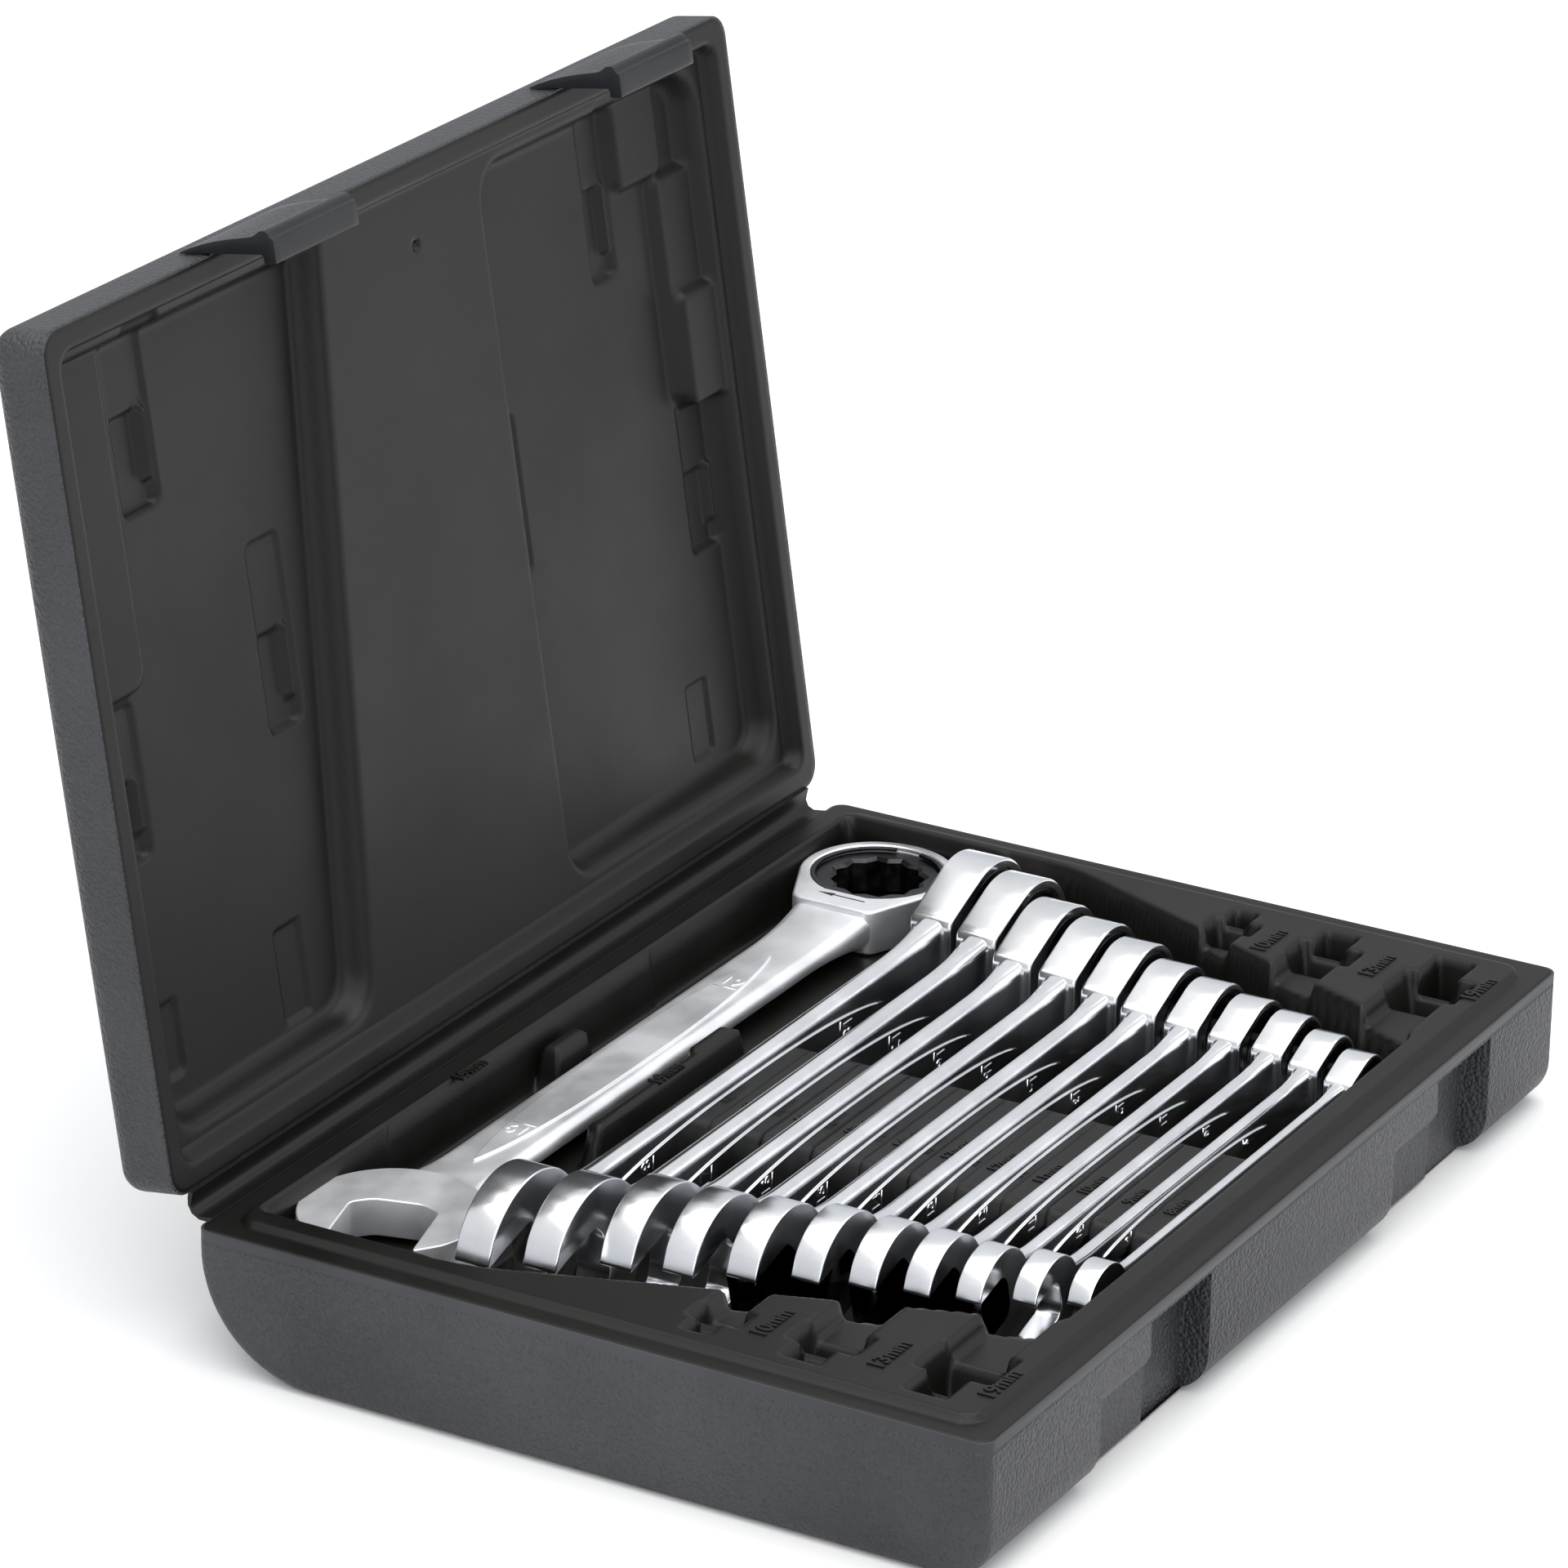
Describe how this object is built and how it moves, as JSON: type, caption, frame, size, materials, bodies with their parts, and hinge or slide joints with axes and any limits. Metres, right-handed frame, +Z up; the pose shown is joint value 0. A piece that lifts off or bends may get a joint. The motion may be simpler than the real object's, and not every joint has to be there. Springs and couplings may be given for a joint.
{
  "type": "ratcheting wrench set in case",
  "caption": "Ratcheting combination wrenches held in a double-walled plastic case with a hinged lid and two snap latches.",
  "frame": {"origin": "centre of the case's flat bottom", "axes": "+X along the hinge, towards the ring heads; +Y towards the hinge; +Z up; the lid stands open"},
  "size_m": [0.27, 0.233, 0.2262],
  "materials": {
    "base_shell": "grained",
    "base_tray": "satin",
    "hinge_leaf_base": "satin",
    "hinge_leaf_lid": "satin",
    "lid_shell": "grained",
    "lid_liner": "satin",
    "latch_left": "grained",
    "latch_right": "grained",
    "wrench_08": "polished",
    "ratchet_gear_08": "blackened",
    "pawl_08": "blackened",
    "retaining_ring_08": "bright",
    "wrench_09": "polished",
    "ratchet_gear_09": "blackened",
    "pawl_09": "blackened",
    "retaining_ring_09": "bright",
    "wrench_10": "polished",
    "ratchet_gear_10": "blackened",
    "pawl_10": "blackened",
    "retaining_ring_10": "bright",
    "wrench_11": "polished",
    "ratchet_gear_11": "blackened",
    "pawl_11": "blackened",
    "retaining_ring_11": "bright",
    "wrench_12": "polished",
    "ratchet_gear_12": "blackened",
    "pawl_12": "blackened",
    "retaining_ring_12": "bright",
    "wrench_13": "polished",
    "ratchet_gear_13": "blackened",
    "pawl_13": "blackened",
    "retaining_ring_13": "bright",
    "wrench_14": "polished",
    "ratchet_gear_14": "blackened",
    "pawl_14": "blackened",
    "retaining_ring_14": "bright",
    "wrench_15": "polished",
    "ratchet_gear_15": "blackened",
    "pawl_15": "blackened",
    "retaining_ring_15": "bright",
    "wrench_16": "polished",
    "ratchet_gear_16": "blackened",
    "pawl_16": "blackened",
    "retaining_ring_16": "bright",
    "wrench_17": "polished",
    "ratchet_gear_17": "blackened",
    "pawl_17": "blackened",
    "retaining_ring_17": "bright",
    "wrench_18": "polished",
    "ratchet_gear_18": "blackened",
    "pawl_18": "blackened",
    "retaining_ring_18": "bright",
    "wrench_19": "polished",
    "ratchet_gear_19": "blackened",
    "pawl_19": "blackened",
    "retaining_ring_19": "bright"
  },
  "bodies": {
    "case": {"base_shell": "base_shell", "base_tray": "base_tray", "hinge_leaf_base": "hinge_leaf_base"},
    "lid": {"lid_shell": "lid_shell", "lid_liner": "lid_liner", "hinge_leaf_lid": "hinge_leaf_lid"},
    "latch_left": {"latch_left": "latch_left"},
    "latch_right": {"latch_right": "latch_right"},
    "wrench_08": {"wrench_08": "wrench_08", "retaining_ring_08": "retaining_ring_08"},
    "ratchet_08": {"ratchet_gear_08": "ratchet_gear_08"},
    "pawl_08": {"pawl_08": "pawl_08"},
    "wrench_09": {"wrench_09": "wrench_09", "retaining_ring_09": "retaining_ring_09"},
    "ratchet_09": {"ratchet_gear_09": "ratchet_gear_09"},
    "pawl_09": {"pawl_09": "pawl_09"},
    "wrench_10": {"wrench_10": "wrench_10", "retaining_ring_10": "retaining_ring_10"},
    "ratchet_10": {"ratchet_gear_10": "ratchet_gear_10"},
    "pawl_10": {"pawl_10": "pawl_10"},
    "wrench_11": {"wrench_11": "wrench_11", "retaining_ring_11": "retaining_ring_11"},
    "ratchet_11": {"ratchet_gear_11": "ratchet_gear_11"},
    "pawl_11": {"pawl_11": "pawl_11"},
    "wrench_12": {"wrench_12": "wrench_12", "retaining_ring_12": "retaining_ring_12"},
    "ratchet_12": {"ratchet_gear_12": "ratchet_gear_12"},
    "pawl_12": {"pawl_12": "pawl_12"},
    "wrench_13": {"wrench_13": "wrench_13", "retaining_ring_13": "retaining_ring_13"},
    "ratchet_13": {"ratchet_gear_13": "ratchet_gear_13"},
    "pawl_13": {"pawl_13": "pawl_13"},
    "wrench_14": {"wrench_14": "wrench_14", "retaining_ring_14": "retaining_ring_14"},
    "ratchet_14": {"ratchet_gear_14": "ratchet_gear_14"},
    "pawl_14": {"pawl_14": "pawl_14"},
    "wrench_15": {"wrench_15": "wrench_15", "retaining_ring_15": "retaining_ring_15"},
    "ratchet_15": {"ratchet_gear_15": "ratchet_gear_15"},
    "pawl_15": {"pawl_15": "pawl_15"},
    "wrench_16": {"wrench_16": "wrench_16", "retaining_ring_16": "retaining_ring_16"},
    "ratchet_16": {"ratchet_gear_16": "ratchet_gear_16"},
    "pawl_16": {"pawl_16": "pawl_16"},
    "wrench_17": {"wrench_17": "wrench_17", "retaining_ring_17": "retaining_ring_17"},
    "ratchet_17": {"ratchet_gear_17": "ratchet_gear_17"},
    "pawl_17": {"pawl_17": "pawl_17"},
    "wrench_18": {"wrench_18": "wrench_18", "retaining_ring_18": "retaining_ring_18"},
    "ratchet_18": {"ratchet_gear_18": "ratchet_gear_18"},
    "pawl_18": {"pawl_18": "pawl_18"},
    "wrench_19": {"wrench_19": "wrench_19", "retaining_ring_19": "retaining_ring_19"},
    "ratchet_19": {"ratchet_gear_19": "ratchet_gear_19"},
    "pawl_19": {"pawl_19": "pawl_19"}
  },
  "joints": [
    {"name": "lid_hinge", "type": "hinge", "parent": "case", "child": "lid", "pos_m": [0, 0.0972, 0.03215], "axis": [-1, 0, 0], "range_deg": [-98.8, 81.2]},
    {"name": "latch_left_flex", "type": "hinge", "parent": "lid", "child": "latch_left", "pos_m": [-0.06, 0.13346, 0.21961], "axis": [-1, 0, 0], "range_deg": [0, 12], "stiffness_Nm_per_rad": 0.6},
    {"name": "latch_right_flex", "type": "hinge", "parent": "lid", "child": "latch_right", "pos_m": [0.077, 0.13346, 0.21961], "axis": [-1, 0, 0], "range_deg": [0, 12], "stiffness_Nm_per_rad": 0.6},
    {"name": "wrench_08_lift", "type": "slide", "parent": "case", "child": "wrench_08", "axis": [0, 0, 1], "range_m": [0, 0.025]},
    {"name": "ratchet_08_spin", "type": "hinge", "parent": "wrench_08", "child": "ratchet_08", "pos_m": [0.07134, -0.0735, 0.023], "axis": [0, -1, 0], "continuous": true},
    {"name": "pawl_08_slide", "type": "slide", "parent": "wrench_08", "child": "pawl_08", "axis": [-1, 0, 0], "range_m": [0, 0.0005], "stiffness_N_per_m": 300},
    {"name": "wrench_09_lift", "type": "slide", "parent": "case", "child": "wrench_09", "axis": [0, 0, 1], "range_m": [0, 0.025]},
    {"name": "ratchet_09_spin", "type": "hinge", "parent": "wrench_09", "child": "ratchet_09", "pos_m": [0.07487, -0.06379, 0.023], "axis": [0, -1, 0], "continuous": true},
    {"name": "pawl_09_slide", "type": "slide", "parent": "wrench_09", "child": "pawl_09", "axis": [-1, 0, 0], "range_m": [0, 0.0005], "stiffness_N_per_m": 300},
    {"name": "wrench_10_lift", "type": "slide", "parent": "case", "child": "wrench_10", "axis": [0, 0, 1], "range_m": [0, 0.03]},
    {"name": "ratchet_10_spin", "type": "hinge", "parent": "wrench_10", "child": "ratchet_10", "pos_m": [0.0784, -0.05372, 0.023], "axis": [0, -1, 0], "continuous": true},
    {"name": "pawl_10_slide", "type": "slide", "parent": "wrench_10", "child": "pawl_10", "axis": [-1, 0, 0], "range_m": [0, 0.0005], "stiffness_N_per_m": 300},
    {"name": "wrench_11_lift", "type": "slide", "parent": "case", "child": "wrench_11", "axis": [0, 0, 1], "range_m": [0, 0.03]},
    {"name": "ratchet_11_spin", "type": "hinge", "parent": "wrench_11", "child": "ratchet_11", "pos_m": [0.07943, -0.04329, 0.023], "axis": [0, -1, 0], "continuous": true},
    {"name": "pawl_11_slide", "type": "slide", "parent": "wrench_11", "child": "pawl_11", "axis": [-1, 0, 0], "range_m": [0, 0.0005], "stiffness_N_per_m": 300},
    {"name": "wrench_12_lift", "type": "slide", "parent": "case", "child": "wrench_12", "axis": [0, 0, 1], "range_m": [0, 0.03]},
    {"name": "ratchet_12_spin", "type": "hinge", "parent": "wrench_12", "child": "ratchet_12", "pos_m": [0.08096, -0.0325, 0.023], "axis": [0, -1, 0], "continuous": true},
    {"name": "pawl_12_slide", "type": "slide", "parent": "wrench_12", "child": "pawl_12", "axis": [-1, 0, 0], "range_m": [0, 0.0005], "stiffness_N_per_m": 300},
    {"name": "wrench_13_lift", "type": "slide", "parent": "case", "child": "wrench_13", "axis": [0, 0, 1], "range_m": [0, 0.03]},
    {"name": "ratchet_13_spin", "type": "hinge", "parent": "wrench_13", "child": "ratchet_13", "pos_m": [0.08299, -0.02135, 0.023], "axis": [0, -1, 0], "continuous": true},
    {"name": "pawl_13_slide", "type": "slide", "parent": "wrench_13", "child": "pawl_13", "axis": [-1, 0, 0], "range_m": [0, 0.0005], "stiffness_N_per_m": 300},
    {"name": "wrench_14_lift", "type": "slide", "parent": "case", "child": "wrench_14", "axis": [0, 0, 1], "range_m": [0, 0.03]},
    {"name": "ratchet_14_spin", "type": "hinge", "parent": "wrench_14", "child": "ratchet_14", "pos_m": [0.08752, -0.00984, 0.023], "axis": [0, -1, 0], "continuous": true},
    {"name": "pawl_14_slide", "type": "slide", "parent": "wrench_14", "child": "pawl_14", "axis": [-1, 0, 0], "range_m": [0, 0.0005], "stiffness_N_per_m": 300},
    {"name": "wrench_15_lift", "type": "slide", "parent": "case", "child": "wrench_15", "axis": [0, 0, 1], "range_m": [0, 0.035]},
    {"name": "ratchet_15_spin", "type": "hinge", "parent": "wrench_15", "child": "ratchet_15", "pos_m": [0.09105, 0.00203, 0.023], "axis": [0, -1, 0], "continuous": true},
    {"name": "pawl_15_slide", "type": "slide", "parent": "wrench_15", "child": "pawl_15", "axis": [-1, 0, 0], "range_m": [0, 0.0005], "stiffness_N_per_m": 300},
    {"name": "wrench_16_lift", "type": "slide", "parent": "case", "child": "wrench_16", "axis": [0, 0, 1], "range_m": [0, 0.035]},
    {"name": "ratchet_16_spin", "type": "hinge", "parent": "wrench_16", "child": "ratchet_16", "pos_m": [0.09358, 0.01426, 0.023], "axis": [0, -1, 0], "continuous": true},
    {"name": "pawl_16_slide", "type": "slide", "parent": "wrench_16", "child": "pawl_16", "axis": [-1, 0, 0], "range_m": [0, 0.0005], "stiffness_N_per_m": 300},
    {"name": "wrench_17_lift", "type": "slide", "parent": "case", "child": "wrench_17", "axis": [0, 0, 1], "range_m": [0, 0.035]},
    {"name": "ratchet_17_spin", "type": "hinge", "parent": "wrench_17", "child": "ratchet_17", "pos_m": [0.10111, 0.02685, 0.023], "axis": [0, -1, 0], "continuous": true},
    {"name": "pawl_17_slide", "type": "slide", "parent": "wrench_17", "child": "pawl_17", "axis": [-1, 0, 0], "range_m": [0, 0.0005], "stiffness_N_per_m": 300},
    {"name": "wrench_18_lift", "type": "slide", "parent": "case", "child": "wrench_18", "axis": [0, 0, 1], "range_m": [0, 0.035]},
    {"name": "ratchet_18_spin", "type": "hinge", "parent": "wrench_18", "child": "ratchet_18", "pos_m": [0.10464, 0.0398, 0.023], "axis": [0, -1, 0], "continuous": true},
    {"name": "pawl_18_slide", "type": "slide", "parent": "wrench_18", "child": "pawl_18", "axis": [-1, 0, 0], "range_m": [0, 0.0005], "stiffness_N_per_m": 300},
    {"name": "wrench_19_lift", "type": "slide", "parent": "case", "child": "wrench_19", "axis": [0, 0, 1], "range_m": [0, 0.02]},
    {"name": "ratchet_19_spin", "type": "hinge", "parent": "wrench_19", "child": "ratchet_19", "pos_m": [0.10722, 0.0665, 0.0246], "axis": [0, 0, 1], "continuous": true},
    {"name": "pawl_19_slide", "type": "slide", "parent": "wrench_19", "child": "pawl_19", "axis": [-1, 0, 0], "range_m": [0, 0.0005], "stiffness_N_per_m": 300}
  ]
}
